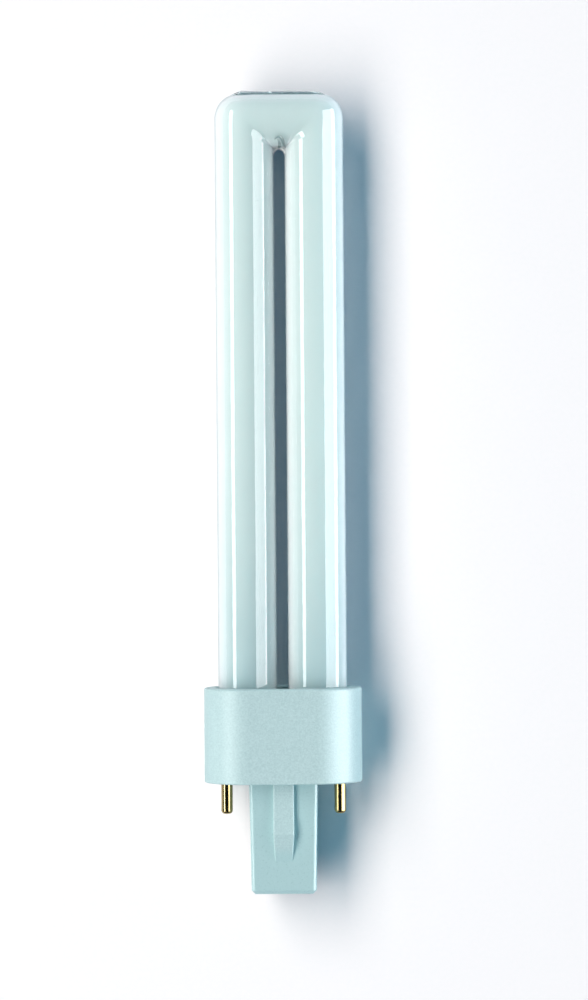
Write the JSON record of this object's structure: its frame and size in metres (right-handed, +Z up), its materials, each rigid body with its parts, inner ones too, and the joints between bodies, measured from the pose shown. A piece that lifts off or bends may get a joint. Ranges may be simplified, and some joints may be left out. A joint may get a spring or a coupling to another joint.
{
  "type": "u shaped fluorescent bulb",
  "caption": "U-shaped compact fluorescent lamp: white glass tube folded back on itself, on an oval plastic cap with contact pins and a keyed plug-in post.",
  "frame": {"origin": "middle of the cap's seating face, between the two contact pins", "axes": "+Y along the lamp from the cap to the tip of the glass, +X across the two legs, +Z up from the surface that the lamp lies on"},
  "size_m": [0.032, 0.163, 0.018],
  "materials": {
    "coated_glass": "clear glass over a white inner coating, smooth and glossy",
    "cap_plastic": "pale white moulded plastic, satin",
    "brass": "polished brass",
    "plated_wire": "plated wire and sleeve",
    "cement": "matt cement",
    "starter_glass": "clear glass",
    "capacitor_coating": "dipped coating"
  },
  "bodies": {
    "root": {"basing_cement": "cement", "cap_body": "cap_plastic", "capacitor": "capacitor_coating", "capacitor_lead_left": "plated_wire", "capacitor_lead_right": "plated_wire", "contact_pin_left": "brass", "contact_pin_right": "brass", "crimp_sleeve_left": "plated_wire", "crimp_sleeve_right": "plated_wire", "discharge_tube": "coated_glass", "electrode_lead_left": "plated_wire", "electrode_lead_right": "plated_wire", "pin_lead_left": "plated_wire", "pin_lead_right": "plated_wire", "starter_bulb": "starter_glass", "starter_lead_left": "plated_wire", "starter_lead_right": "plated_wire"}
  },
  "joints": []
}
